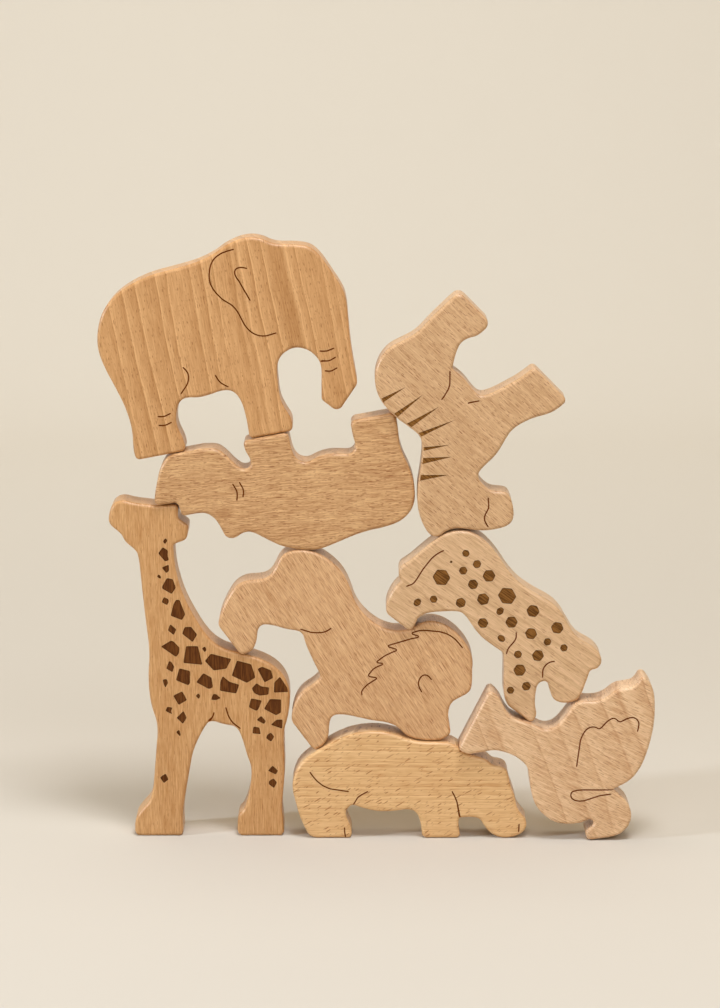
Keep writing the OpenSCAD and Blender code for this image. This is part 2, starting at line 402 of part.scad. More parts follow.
// Points of the carriers beneath those left contacts
HIPPO_RUMP = [2.1, 0];
HIPPO_SHOULDER = [65.5, 0];
LION_NECK = [53.7, 66.4];
GIRAFFE_HEAD = [13.7, 149.5];
RHINO_HEEL = [0.5, 0];
// Point under the soles of the rhino where the hind sole of the elephant starts
RHINO_TOE = [114.4, 0];

// Poses from the table up
hippo_pose = [0, 0, 0];
hippo_points = posed(hippo_edge, hippo_pose);

lion_pose = settled(lion_edge, lion_k, LION_SEAT, placed(HIPPO_RUMP * hippo_k, hippo_pose).x, [hippo_points]);
lion_points = posed(lion_edge, lion_pose);

giraffe_stop = left_of(hippo_points) - right_of(points_of(giraffe_edge)) - seat_gap;
giraffe_pose = [slid(giraffe_edge, giraffe_stop - slide_range, giraffe_stop, edges_below(lion_points)), 0, 0];
giraffe_points = posed(giraffe_edge, giraffe_pose);

ostrich_pose = settled(ostrich_edge, ostrich_k, OSTRICH_SEAT, placed(HIPPO_SHOULDER * hippo_k, hippo_pose).x,
    [hippo_points, table]);
ostrich_points = posed(ostrich_edge, ostrich_pose);

leopard_pose = settled(leopard_edge, leopard_k, LEOPARD_SEAT, placed(LION_NECK * lion_k, lion_pose).x,
    [lion_points, ostrich_points]);
leopard_points = posed(leopard_edge, leopard_pose);

rhino_pose = settled(rhino_edge, rhino_k, RHINO_SEAT, placed(GIRAFFE_HEAD * giraffe_k, giraffe_pose).x,
    [giraffe_points, lion_points]);
rhino_points = posed(rhino_edge, rhino_pose);

// The elephant stands on the soles of the rhino, feet to feet.
elephant_pose = concat(placed(RHINO_TOE * rhino_k - [0, seat_gap], rhino_pose), [rhino_pose[2] - 180]);
elephant_points = posed(elephant_edge, elephant_pose);

heel_x = placed(RHINO_HEEL * rhino_k, rhino_pose).x;
zebra_pose = leaning(zebra_edge, ZEBRA_SEAT[0] * zebra_k, ZEBRA_SEAT[1] * zebra_k, zebra_tilt,
    heel_x - lean_range, heel_x + lean_range, concat(edges_above(rhino_points), edges_above(leopard_points)));
zebra_points = posed(zebra_edge, zebra_pose);

// Middle of the pile along X and Y
pile_points = concat(elephant_points, rhino_points, zebra_points, giraffe_points,
    lion_points, hippo_points, leopard_points, ostrich_points);
pile_x = (left_of(pile_points) + right_of(pile_points)) / 2;
pile_y = -max(elephant_forward, rhino_forward, zebra_forward, lion_forward, hippo_forward,
    leopard_forward, ostrich_forward) / 2;

// A board with its outline rounded over at the front and the back
module board(pairs) {
    n = len(pairs);
    half = [for (k = [0:edge_steps]) let (a = 90 * k / edge_steps)
        [edge_r * (1 - sin(a)), edge_r * (1 - cos(a)) - board_t / 2]];
    layers = concat(half, [for (k = [edge_steps:-1:0]) [half[k][0], -half[k][1]]]);
    last = len(layers) - 1;
    cap = filled([for (p = pairs) p[0] - edge_r * p[1]], [for (i = [0:n - 1]) i]);
    bands = [for (j = [0:last - 1], i = [0:n - 1])
        let (a = j * n + i, b = j * n + (i + 1) % n) each [[a, b, b + n], [a, b + n, a + n]]];
    polyhedron([for (l = layers, p = pairs) let (q = p[0] - l[0] * p[1]) [q.x, l[1], q.y]],
        concat([for (t = cap) [t[2], t[1], t[0]]], [for (t = cap) t + [1, 1, 1] * last * n], bands));
}

// A recess that is sunk into the front of a board
module sunk(depth) {
    translate([0, depth - board_t / 2, 0]) rotate([90, 0, 0]) linear_extrude(depth + cut_clear) children();
}

module lines(list, k) {
    for (points = list) {
        pairs = sized(stroke(points), k);
        n = len(pairs);
        sunk(line_depth) polygon(concat([for (p = pairs) p[0] + p[1] * line_w / 2],
            [for (i = [n - 1:-1:0]) pairs[i][0] - pairs[i][1] * line_w / 2]));
    }
}

module patches(list, k) {
    for (points = list) sunk(patch_depth) polygon(points * k);
}

module spots(list, k) {
    for (s = list) sunk(patch_depth) polygon([for (i = [0:s[5] - 1]) let (a = s[4] + 90 + 360 * i / s[5])
        [s[0] + s[2] / 2 * cos(a), s[1] + s[3] / 2 * sin(a)] * k]);
}

module stripes(list, k) {
    for (s = list) {
        root = [s[0], s[1]];
        tip = [s[2], s[3]];
        side = outward(unit(tip - root)) * s[4] / 2;
        sunk(patch_depth) polygon([root + side, tip, root - side] * k);
    }
}

module place(pose, forward = 0) {
    translate([pose.x - pile_x, -forward - pile_y, pose.y]) rotate([0, -pose[2], 0]) children();
}

module elephant() {
    color("#CD9F6C") place(elephant_pose, elephant_forward) difference() {
        board(elephant_edge);
        lines(ELEPHANT_LINES, elephant_k);
    }
}

module rhino() {
    color("#C99B69") place(rhino_pose, rhino_forward) difference() {
        board(rhino_edge);
        lines(RHINO_LINES, rhino_k);
    }
}

module zebra() {
    color("#C89B6C") place(zebra_pose, zebra_forward) difference() {
        board(zebra_edge);
        lines(ZEBRA_LINES, zebra_k);
        stripes(ZEBRA_STRIPES, zebra_k);
    }
}

module giraffe() {
    color("#C9985F") place(giraffe_pose) difference() {
        board(giraffe_edge);
        lines(GIRAFFE_LINES, giraffe_k);
        patches(GIRAFFE_PATCHES, giraffe_k);
    }
}

module lion() {
    color("#CDA172") place(lion_pose, lion_forward) difference() {
        board(lion_edge);
        lines(LION_LINES, lion_k);
    }
}

module hippo() {
    color("#D8A96C") place(hippo_pose, hippo_forward) difference() {
        board(hippo_edge);
        lines(HIPPO_LINES, hippo_k);
    }
}

module leopard() {
    color("#CFA376") place(leopard_pose, leopard_forward) difference() {
        board(leopard_edge);
        lines(LEOPARD_LINES, leopard_k);
        spots(LEOPARD_SPOTS, leopard_k);
    }
}

module ostrich() {
    color("#C59873") place(ostrich_pose, ostrich_forward) difference() {
        board(ostrich_edge);
        lines(OSTRICH_LINES, ostrich_k);
    }
}

elephant();
rhino();
zebra();
giraffe();
lion();
hippo();
leopard();
ostrich();
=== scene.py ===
from math import radians

import bpy
import numpy as np
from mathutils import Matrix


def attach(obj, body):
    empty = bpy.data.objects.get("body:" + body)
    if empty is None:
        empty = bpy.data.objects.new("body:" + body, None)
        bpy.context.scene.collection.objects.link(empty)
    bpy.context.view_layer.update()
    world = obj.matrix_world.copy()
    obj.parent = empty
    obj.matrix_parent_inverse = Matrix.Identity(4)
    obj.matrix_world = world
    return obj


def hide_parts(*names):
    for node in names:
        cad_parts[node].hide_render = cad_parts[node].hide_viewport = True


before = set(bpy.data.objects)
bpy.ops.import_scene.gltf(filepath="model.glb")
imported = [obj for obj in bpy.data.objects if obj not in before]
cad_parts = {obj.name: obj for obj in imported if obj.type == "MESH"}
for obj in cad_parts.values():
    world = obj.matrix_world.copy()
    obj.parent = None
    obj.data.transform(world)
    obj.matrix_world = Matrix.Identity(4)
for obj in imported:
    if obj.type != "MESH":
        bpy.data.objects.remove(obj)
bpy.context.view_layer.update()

# The hippo
# The real hippo is cut from an 18 mm beech board with a router, rounded over along both edges and
# sanded. Its lines are burnt into the face by a laser. It stands on the table on its feet.

MM = 0.001
LINE_BURN, CHAR_BURN, SCORCH_BURN = 1.0, 0.7, 0.4


def solid_corners(node):
    """Corners of a CAD solid in mm with doubles merged, and its triangles as numbers of those corners."""
    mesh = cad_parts[node].data
    mesh.calc_loop_triangles()
    places = np.empty(len(mesh.vertices) * 3)
    mesh.vertices.foreach_get("co", places)
    corners_of = np.empty(len(mesh.loop_triangles) * 3, int)
    mesh.loop_triangles.foreach_get("vertices", corners_of)
    places, number = np.unique(np.round(places.reshape(-1, 3) / MM, 4), axis=0, return_inverse=True)
    return places, number.reshape(-1)[corners_of.reshape(-1, 3)]


def edges_of(triangles):
    """The three edges of each triangle, each from its start to its end."""
    return np.stack([triangles, np.roll(triangles, -1, axis=1)], axis=2)


def rings_along(edges):
    """Rings of corners that follow one another along edges."""
    follow, rings = dict(edges.tolist()), []
    while follow:
        here, ring = next(iter(follow)), []
        while here in follow:
            ring.append(here)
            here = follow.pop(here)
        rings.append(ring)
    return rings


def anticlockwise(ring):
    """The ring of points turned round if the area inside it, summed over its edges, is below zero."""
    after = np.roll(ring, -1, axis=0)
    area = 0.5 * np.sum(ring[:, 0] * after[:, 1] - ring[:, 1] * after[:, 0])
    return ring if area > 0 else ring[::-1]


def unit(ways):
    """Each vector divided by its length."""
    return ways / np.linalg.norm(ways, axis=-1, keepdims=True)


def board_outline(places, triangles):
    """The outline of a board, read off its CAD solid: points, outward normals, rounding, front and back.

    The back half of the solid has three layers of corners: the outline where the rounding starts, one
    in the middle of the rounding, and the edge of the flat back. A normal points from the nearest
    corner of the middle layer to the outline.
    """
    depth = places[:, 1]
    front, back = depth.min(), depth.max()
    start, middle, _ = np.unique(depth[depth > (front + back) / 2])
    at_start = depth[triangles] == start
    band = (at_start.sum(1) == 2) & (depth[triangles].max(1) > start)
    on_outline = edges_of(at_start[band]).all(2)
    ring = places[max(rings_along(edges_of(triangles[band])[on_outline]), key=len)]
    ring = anticlockwise(ring[:, [0, 2]])
    inner = places[depth == middle][:, [0, 2]]
    nearest = np.linalg.norm(ring[:, None] - inner[None], axis=2).argmin(1)
    return ring, unit(ring - inner[nearest]), back - start, front, back


def smooth_outline(points, normals, step_turn=radians(3), step_length=1.2):
    """A curve through the points that keeps their normals: a cubic between each two neighbours, whose
    tangents are the normals turned a quarter and as long as the chord."""
    ends, end_normals = np.roll(points, -1, axis=0), np.roll(normals, -1, axis=0)
    chord = np.linalg.norm(ends - points, axis=1)
    turn = np.arccos(np.clip(np.sum(normals * end_normals, axis=1), -1, 1))
    steps = np.maximum(np.ceil(turn / step_turn), np.ceil(chord / step_length)).astype(int)
    stretch = np.repeat(np.arange(len(points)), steps)
    first = np.repeat(np.cumsum(steps) - steps, steps)
    t = ((np.arange(len(stretch)) - first) / steps[stretch])[:, None]
    a, b = points[stretch], ends[stretch]
    quarter = np.array([[0, 1], [-1, 0]])
    leave = (normals @ quarter)[stretch] * chord[stretch, None]
    arrive = (end_normals @ quarter)[stretch] * chord[stretch, None]
    curve = ((2 * t**3 - 3 * t**2 + 1) * a + (t**3 - 2 * t**2 + t) * leave
             + (3 * t**2 - 2 * t**3) * b + (t**3 - t**2) * arrive)
    slope = ((6 * t**2 - 6 * t) * (a - b) + (3 * t**2 - 4 * t + 1) * leave
             + (3 * t**2 - 2 * t) * arrive)
    return curve, unit(slope) @ quarter.T


def skin(rings, burn):
    """A closed mesh through rings of points, each behind the last, and how burnt each ring is."""
    layers, n = len(rings), rings.shape[1]
    i, j = np.meshgrid(np.arange(n), np.arange(layers - 1) * n)
    ahead = (i + 1) % n
    sides = np.stack([i + j, i + j + n, ahead + j + n, ahead + j], axis=-1).reshape(-1, 4)
    front, back = list(range(n)), list(range(layers * n - 1, (layers - 1) * n - 1, -1))
    return rings.reshape(-1, 3), sides.tolist() + [front, back], np.repeat(burn, n)


def layered(rings, depths):
    """Rings of points in the plane of the face, set at their depths in mm, as one array of layers."""
    depths = np.broadcast_to(np.asarray(depths, float)[:, None], rings.shape[:2])
    return np.stack([rings[..., 0], depths, rings[..., 1]], axis=-1)


def rounded_board(curve, normals, rounding, front, back, round_steps=6):
    """A board whose edges are quarter circles: at the angle a the outline lies rounding * (1 - sin a)
    further in, at the depth rounding * (1 - cos a) behind the face."""
    a = np.linspace(0, np.pi / 2, round_steps + 1)
    inset, sunk = rounding * (1 - np.sin(a)), rounding * (1 - np.cos(a))
    inset = np.concatenate([inset, inset[::-1]])
    depths = np.concatenate([front + sunk, back - sunk[::-1]])
    rings = curve[None] - inset[:, None, None] * normals[None]
    return skin(layered(rings, depths), np.zeros(len(depths)))


def recesses(places, triangles, front, back):
    """The floors that the CAD solid has below its face: the ring round each one, and its depth. The
    ring follows the edges that only one triangle of the floor has."""
    depth, size = places[:, 1][triangles], len(places)
    found = []
    for level in np.unique(depth[np.ptp(depth, axis=1) == 0][:, 0]):
        if front < level < back:
            edges = edges_of(triangles[(depth == level).all(1)]).reshape(-1, 2)
            lone = ~np.isin(edges @ [size, 1], edges[:, ::-1] @ [size, 1])
            for ring in rings_along(edges[lone]):
                found.append((anticlockwise(places[ring][:, [0, 2]]), level - front))
    return found


def run_out(ring, curve, normals, near, further):
    """A recess that comes near the outline runs on towards it: its points there move outwards."""
    away = np.linalg.norm(ring[:, None] - curve[None], axis=2)
    moved = ring + normals[away.argmin(1)] * further
    return np.where((away.min(1) < near)[:, None], moved, ring)


def softened(ring, cut, passes=2):
    """Each corner gives way to two points, a quarter of an edge away from it and at most cut mm."""
    for _ in range(passes):
        before, after = np.roll(ring, 1, axis=0) - ring, np.roll(ring, -1, axis=0) - ring
        shares = [np.minimum(0.25, cut / np.linalg.norm(e, axis=1))[:, None] for e in (before, after)]
        ring = np.stack([ring + before * shares[0], ring + after * shares[1]], axis=1).reshape(-1, 2)
    return ring


def cutter(ring, front, depth, is_line, rim=0.45, least_share=0.3, ahead=1.0):
    """A prism that cuts a recess, from ahead of the face to its floor. A patch is charred on its wall
    and on a rim of its floor, and scorched inside the rim."""
    floor = front + depth
    if is_line:
        return skin(layered(np.stack([ring, ring]), [front - ahead, floor]), [LINE_BURN] * 2)
    middle = ring.mean(0)
    across = np.linalg.norm(ring - middle, axis=1).mean()
    inner = middle + (ring - middle) * max(least_share, 1 - rim / across)
    rings = layered(np.stack([ring, ring, inner]), [front - ahead, floor, floor])
    return skin(rings, [CHAR_BURN, CHAR_BURN, SCORCH_BURN])


def mesh_of(name, parts):
    """One object from several (points in mm, faces, burn), with the burn kept at the faces' corners."""
    starts = np.cumsum([0] + [len(p[0]) for p in parts])
    mesh = bpy.data.meshes.new(name)
    faces = [[k + s for k in face] for p, s in zip(parts, starts.tolist()) for face in p[1]]
    mesh.from_pydata(np.concatenate([p[0] for p in parts]) * MM, [], faces)
    burn = np.concatenate([p[2] for p in parts])
    at = np.empty(len(mesh.loops), int)
    mesh.loops.foreach_get("vertex_index", at)
    burnt = mesh.attributes.new("burn", "FLOAT", "CORNER")
    burnt.data.foreach_set("value", burn[at].astype(np.float32))
    thing = bpy.data.objects.new(name, mesh)
    bpy.context.scene.collection.objects.link(thing)
    return thing


def applied(thing):
    """The object with its modifiers worked into its mesh."""
    bpy.context.view_layer.update()
    finished = thing.evaluated_get(bpy.context.evaluated_depsgraph_get())
    mesh = bpy.data.meshes.new_from_object(finished)
    thing.modifiers.clear()
    thing.data = mesh
    return thing


def engraved_board(node, patch_corner=0.3, near=1.0, further=1.0, line_depth=0.35, sharp=radians(40)):
    """The board that stands for a CAD node: smooth outline, round edges, and its recesses cut in.

    A recess deeper than line_depth is a line and any other is a patch. Within near mm of the outline a
    patch runs out by further mm.
    """
    places, triangles = solid_corners(node)
    points, normals, rounding, front, back = board_outline(places, triangles)
    curve, normals = smooth_outline(points, normals)
    board = mesh_of(node + "_board", [rounded_board(curve, normals, rounding, front, back)])
    cutters = []
    for ring, depth in recesses(places, triangles, front, back):
        is_line = depth > line_depth
        reach = (1.0, 1.0) if is_line else (near, further)
        ring = softened(run_out(ring, curve, normals, *reach), patch_corner)
        cutters.append(cutter(ring, front, depth, is_line))
    tool = mesh_of("laser", cutters)
    cut = board.modifiers.new("laser", "BOOLEAN")
    cut.operation, cut.solver, cut.object = "DIFFERENCE", "EXACT", tool
    applied(board)
    bpy.data.objects.remove(tool)
    board.data.shade_smooth()
    board.data.set_sharp_from_angle(angle=sharp)
    shading = board.modifiers.new("shading", "WEIGHTED_NORMAL")
    shading.keep_sharp = True
    applied(board)
    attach(board, "root")
    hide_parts(node)
    return board


def paint(code):
    """A colour from its hexadecimal code, as the linear numbers that a shader takes."""
    part = np.array([int(code[k:k + 2], 16) for k in (1, 3, 5)]) / 255
    return (*np.where(part <= 0.04045, part / 12.92, ((part + 0.055) / 1.055) ** 2.4), 1.0)


def wired(tree, kind, inputs=None, **settings):
    """A node with its settings, and with each input set to a value or joined to another node's output."""
    node = tree.nodes.new(kind)
    for name, value in settings.items():
        setattr(node, name, value)
    for key, value in (inputs or {}).items():
        if isinstance(value, bpy.types.NodeSocket):
            tree.links.new(value, node.inputs[key])
        else:
            node.inputs[key].default_value = value
    return node


def calc(tree, operation, *values, clamp=False):
    """The output of a Math node over the values."""
    values = dict(enumerate(values))
    return wired(tree, "ShaderNodeMath", values, operation=operation, use_clamp=clamp).outputs[0]


def vector_calc(tree, operation, *values):
    """The output of a Vector Math node over the values."""
    node = wired(tree, "ShaderNodeVectorMath", dict(enumerate(values)), operation=operation)
    return node.outputs["Value" if operation == "LENGTH" else "Vector"]


def split(tree, vector):
    """The three parts of a vector."""
    return wired(tree, "ShaderNodeSeparateXYZ", {0: vector}).outputs


def joined(tree, *parts):
    """The vector that has those three parts."""
    return wired(tree, "ShaderNodeCombineXYZ", dict(enumerate(parts))).outputs[0]


def noise(tree, vector, scale, detail=2.0, roughness=0.5):
    """Noise around 0.5, with that many features to a mm along the grain, deep into it and across it."""
    vector = vector_calc(tree, "MULTIPLY", vector, scale)
    return wired(tree, "ShaderNodeTexNoise", {"Vector": vector, "Scale": 1.0, "Detail": detail,
                                              "Roughness": roughness}).outputs[0]


def spread(tree, value, low, high, to_low=0.0, to_high=1.0, kind="SMOOTHSTEP"):
    """The value mapped from one range onto another, and held inside it."""
    return wired(tree, "ShaderNodeMapRange", {0: value, 1: low, 2: high, 3: to_low, 4: to_high},
                 interpolation_type=kind).outputs[0]


def mixed(tree, share, low, high):
    """Two colours mixed by a share."""
    return wired(tree, "ShaderNodeMix", {0: share, 6: low, 7: high}, data_type="RGBA").outputs[2]


def new_group(name, inputs, outputs):
    """An empty node group with named inputs (kind, first value) and outputs (kind)."""
    tree = bpy.data.node_groups.new(name, "ShaderNodeTree")
    for label, (kind, value) in inputs.items():
        socket = tree.interface.new_socket(label, in_out="INPUT", socket_type="NodeSocket" + kind)
        socket.default_value = value
    for label, kind in outputs.items():
        tree.interface.new_socket(label, in_out="OUTPUT", socket_type="NodeSocket" + kind)
    given, result = tree.nodes.new("NodeGroupInput"), tree.nodes.new("NodeGroupOutput")
    return tree, given.outputs, result.inputs


def growth_rings(tree, given, place, sway):
    """Growth rings from -0.5 to 0.5: the distance from the heart of the tree, bent by noise and counted
    in rings of uneven width. Each ring is pale first, then dark, and comes back to pale slowly."""
    wander = noise(tree, place, (0.012, 0.03, 0.03), 1.0)
    bend = calc(tree, "MULTIPLY_ADD", sway, 0.12, calc(tree, "SUBTRACT", wander, 0.5))
    part = split(tree, vector_calc(tree, "SUBTRACT", given["Place"], given["Heart"]))
    radius = vector_calc(tree, "LENGTH", joined(tree, 0.0, part[1], part[2]))
    radius = calc(tree, "MULTIPLY_ADD", part[0], given["Ring Slope"], radius)
    radius = calc(tree, "MULTIPLY_ADD", bend, calc(tree, "MULTIPLY", given["Ring Bend"], 2.0), radius)
    year = calc(tree, "DIVIDE", radius, given["Ring Width"])
    uneven = wired(tree, "ShaderNodeTexNoise", {"W": year, "Scale": 0.6, "Detail": 1.0},
                   noise_dimensions="1D").outputs[0]
    season = calc(tree, "FRACT", calc(tree, "MULTIPLY_ADD", uneven, 1.6, year))
    ramp = wired(tree, "ShaderNodeValToRGB", {0: season})
    stops = ((0.0, 0.95), (0.05, 1.0), (0.12, 0.12), (0.4, 0.36), (0.9, 0.62), (0.97, 0.66))
    while len(ramp.color_ramp.elements) < len(stops):
        ramp.color_ramp.elements.new(0.5)
    for stop, (where, grey) in zip(ramp.color_ramp.elements, stops):
        stop.position, stop.color = where, (grey, grey, grey, 1)
    strong = spread(tree, noise(tree, place, (0.01, 0.05, 0.05), 1.0), 0.3, 0.6, 0.45, 1.0)
    return calc(tree, "MULTIPLY", calc(tree, "SUBTRACT", ramp.outputs[0], 0.5), strong)


def ray_flecks(tree, part, across, length, width, gap, share, shift):
    """Short dashes: thin lenses of that length and width round the middles of cells, in a share of the
    cells. Some are longer or fainter than others."""
    cells_along = calc(tree, "DIVIDE", part[0], calc(tree, "MULTIPLY", length, 1.4))
    cell = joined(tree, calc(tree, "ADD", cells_along, shift), calc(tree, "DIVIDE", part[1], 3.0),
                  calc(tree, "DIVIDE", across, gap))
    found = wired(tree, "ShaderNodeTexVoronoi", {"Vector": cell, "Scale": 1.0, "Randomness": 0.9}).outputs
    luck = wired(tree, "ShaderNodeSeparateColor", {0: found["Color"]}).outputs
    off = split(tree, vector_calc(tree, "SUBTRACT", cell, found["Position"]))
    thin = calc(tree, "DIVIDE", calc(tree, "MULTIPLY", gap, 2.0), width)
    reach = joined(tree, calc(tree, "MULTIPLY", off[0], spread(tree, luck[2], 0.0, 1.0, 2.2, 5.0)),
                   off[1], calc(tree, "MULTIPLY", off[2], thin))
    lens = spread(tree, vector_calc(tree, "LENGTH", reach), 0.7, 1.0, 1.0, 0.0)
    chosen = calc(tree, "LESS_THAN", luck[0], share)
    strength = calc(tree, "MULTIPLY", chosen, spread(tree, luck[1], 0.0, 1.0, 0.35, 1.0))
    return calc(tree, "MULTIPLY", lens, strength)


def grain_group():
    """Beech: growth rings round the heart of the tree, dark rays like short dashes, fibres and clouds.

    Place is in mm from the middle of the board, with X along the grain, Y deep into the board and Z
    across it. Seed moves the rays, fibres and clouds but not the rings.
    """
    tree, given, result = new_group("beech grain", {
        "Place": ("Vector", (0, 0, 0)), "Seed": ("Vector", (0, 0, 0)), "Heart": ("Vector", (0, 0, 0)),
        "Ring Width": ("Float", 6.0), "Ring Contrast": ("Float", 0.3), "Ring Bend": ("Float", 3.0),
        "Ring Slope": ("Float", 0.0), "Ray Length": ("Float", 3.0), "Ray Width": ("Float", 0.4),
        "Ray Gap": ("Float", 1.4), "Ray Lean": ("Float", 0.0), "Ray Share": ("Float", 0.5),
        "Ray Depth": ("Float", 0.6), "Sway": ("Float", 1.0), "Fibre": ("Float", 0.3),
        "Cloud": ("Float", 0.2), "Pale": ("Color", (1, 1, 1, 1)), "Deep": ("Color", (0, 0, 0, 1)),
        "Ray": ("Color", (0, 0, 0, 1))}, {"Colour": "Color", "Streak": "Float", "Relief": "Float"})
    place = vector_calc(tree, "ADD", given["Place"], given["Seed"])
    sway = calc(tree, "SUBTRACT", noise(tree, place, (0.06, 0.2, 0.2)), 0.5)
    ring = growth_rings(tree, given, place, sway)

    part = split(tree, place)
    across = calc(tree, "MULTIPLY_ADD", sway, given["Sway"], part[2])
    swept = joined(tree, part[0], part[1], across)
    fine = noise(tree, swept, (0.12, 0.9, 1.9), roughness=0.7)
    broad = noise(tree, swept, (0.04, 0.25, 0.45), roughness=0.6)
    fibre = calc(tree, "ADD", calc(tree, "MULTIPLY", fine, 0.8), calc(tree, "MULTIPLY", broad, 0.2))
    cloud = noise(tree, place, (0.018, 0.08, 0.08))

    leant = calc(tree, "MULTIPLY_ADD", part[0], given["Ray Lean"], across)
    size = (given["Ray Length"], given["Ray Width"], given["Ray Gap"])
    large = ray_flecks(tree, part, leant, *size, given["Ray Share"], 0.0)
    size = [calc(tree, "MULTIPLY", value, share) for value, share in zip(size, (0.6, 0.75, 0.6))]
    fewer = calc(tree, "MULTIPLY", given["Ray Share"], 0.8)
    small = ray_flecks(tree, part, leant, *size, fewer, 40.5)
    ray = calc(tree, "MAXIMUM", large, calc(tree, "MULTIPLY", small, 0.7))

    tone = calc(tree, "MULTIPLY_ADD", ring, given["Ring Contrast"], 0.5)
    tone = calc(tree, "MULTIPLY_ADD", calc(tree, "SUBTRACT", fibre, 0.5),
                calc(tree, "MULTIPLY", given["Fibre"], 5.0), tone)
    tone = calc(tree, "MULTIPLY_ADD", calc(tree, "SUBTRACT", cloud, 0.5), given["Cloud"], tone,
                clamp=True)
    colour = mixed(tree, tone, given["Deep"], given["Pale"])
    colour = mixed(tree, calc(tree, "MULTIPLY", ray, given["Ray Depth"]), colour, given["Ray"])
    relief = calc(tree, "MULTIPLY_ADD", fibre, 0.5, calc(tree, "MULTIPLY", ring, 0.25))
    relief = calc(tree, "MULTIPLY_ADD", ray, -0.7, relief)
    for label, socket in (("Colour", colour), ("Streak", fibre), ("Relief", relief)):
        tree.links.new(socket, result[label])
    return tree


def burn_group():
    """Laser burn over wood: on a patch's middle scorched wood with its streaks, then char, then the
    brown of a line, as Burn rises."""
    tree, given, result = new_group("laser burn", {
        "Wood": ("Color", (1, 1, 1, 1)), "Streak": ("Float", 0.5), "Burn": ("Float", 0.0),
        "Char": ("Color", (0, 0, 0, 1)), "Scorch": ("Color", (0, 0, 0, 1)),
        "Line": ("Color", (0, 0, 0, 1)), "Streaks": ("Float", 0.5)},
        {"Colour": "Color", "Burnt": "Float"})
    rim = spread(tree, given["Burn"], SCORCH_BURN + 0.02, CHAR_BURN)
    streak = calc(tree, "MULTIPLY", spread(tree, given["Streak"], 0.58, 0.42), given["Streaks"])
    charred = calc(tree, "MAXIMUM", rim, streak, clamp=True)
    burnt = mixed(tree, charred, given["Scorch"], given["Char"])
    lined = spread(tree, given["Burn"], CHAR_BURN + 0.05, LINE_BURN - 0.05)
    burnt = mixed(tree, lined, burnt, given["Line"])
    share = spread(tree, given["Burn"], 0.0, 0.25, kind="LINEAR")
    tree.links.new(mixed(tree, share, given["Wood"], burnt), result["Colour"])
    tree.links.new(share, result["Burnt"])
    return tree


GRAIN, BURN = grain_group(), burn_group()


def beech(board, along, seed, heart, char="#4A2209", scorch="#7A4A24", line="#783806", streaks=0.6,
          **grain):
    """Oiled beech with its grain along that angle in degrees, seen from the front, and laser burn on it.
    Burnt wood is rougher and holds no oil."""
    material = bpy.data.materials.new(board.name.replace("_board", "_beech"))
    material.use_nodes = True
    tree = material.node_tree
    shader = tree.nodes["Principled BSDF"]
    middle = np.mean(board.bound_box, axis=0)
    place = wired(tree, "ShaderNodeMapping", {
        "Vector": wired(tree, "ShaderNodeTexCoord").outputs["Object"], "Location": middle,
        "Rotation": (0, -radians(along), 0), "Scale": (MM, MM, MM)}, vector_type="TEXTURE").outputs[0]
    grain = {label.replace("_", " ").title(): paint(value) if isinstance(value, str) else value
             for label, value in grain.items()}
    wood = wired(tree, "ShaderNodeGroup", node_tree=GRAIN)
    tree.links.new(place, wood.inputs["Place"])
    for label, value in {"Seed": seed, "Heart": heart, **grain}.items():
        wood.inputs[label].default_value = value
    burn = wired(tree, "ShaderNodeAttribute", attribute_name="burn").outputs["Fac"]
    laser = wired(tree, "ShaderNodeGroup", node_tree=BURN)
    for label, value in (("Wood", wood.outputs["Colour"]), ("Streak", wood.outputs["Streak"]),
                         ("Burn", burn)):
        tree.links.new(value, laser.inputs[label])
    for label, value in (("Char", char), ("Scorch", scorch), ("Line", line)):
        laser.inputs[label].default_value = paint(value)
    laser.inputs["Streaks"].default_value = streaks
    tree.links.new(laser.outputs["Colour"], shader.inputs["Base Color"])
    rough = calc(tree, "MULTIPLY_ADD", laser.outputs["Burnt"], 0.2, 0.5)
    rough = calc(tree, "MULTIPLY_ADD", wood.outputs["Streak"], 0.12, rough)
    tree.links.new(rough, shader.inputs["Roughness"])
    oil = calc(tree, "MULTIPLY_ADD", laser.outputs["Burnt"], -0.7, 0.7)
    tree.links.new(oil, shader.inputs["Coat Weight"])
    shader.inputs["Coat Roughness"].default_value = 0.32
    shader.inputs["Specular IOR Level"].default_value = 0.1
    bump = wired(tree, "ShaderNodeBump", {"Strength": 0.35, "Distance": 0.12 * MM,
                                          "Height": wood.outputs["Relief"]})
    tree.links.new(bump.outputs[0], shader.inputs["Normal"])
    board.data.materials.clear()
    board.data.materials.append(material)


beech(engraved_board("hippo"), along=0, seed=(400, 100, 200), heart=(0, 20, -300),
      ring_width=2.1, ring_contrast=0.6, ring_bend=1.5, ray_length=3.2, ray_width=0.7, ray_gap=2.2,
      ray_lean=-0.55, ray_share=0.4, ray_depth=0.85, fibre=0.3, cloud=0.2,
      pale="#EFCA94", deep="#BE8951", ray="#95591F")

# The giraffe
# The giraffe is a tall board with its grain upright, and stands beside the hippo on its two pairs of
# feet. The laser has burnt its coat of patches dark brown, with the grain still showing in them.

beech(engraved_board("giraffe"), along=91, seed=(100, 500, 300), heart=(0, 30, -180),
      ring_width=7.5, ring_contrast=0.16, ring_bend=4.0, ray_length=2.6, ray_width=0.4, ray_gap=1.6,
      ray_share=0.45, ray_depth=0.5, fibre=0.55, cloud=0.3,
      pale="#D3A46F", deep="#AD7841", ray="#8F5928", char="#452209", scorch="#6B3E19", streaks=0.75)

# The ostrich
# The ostrich stands on its head at the end of the pile, with its foot on the hippo's shoulder. Wide
# rings run across its board, and its rays are fine and close.

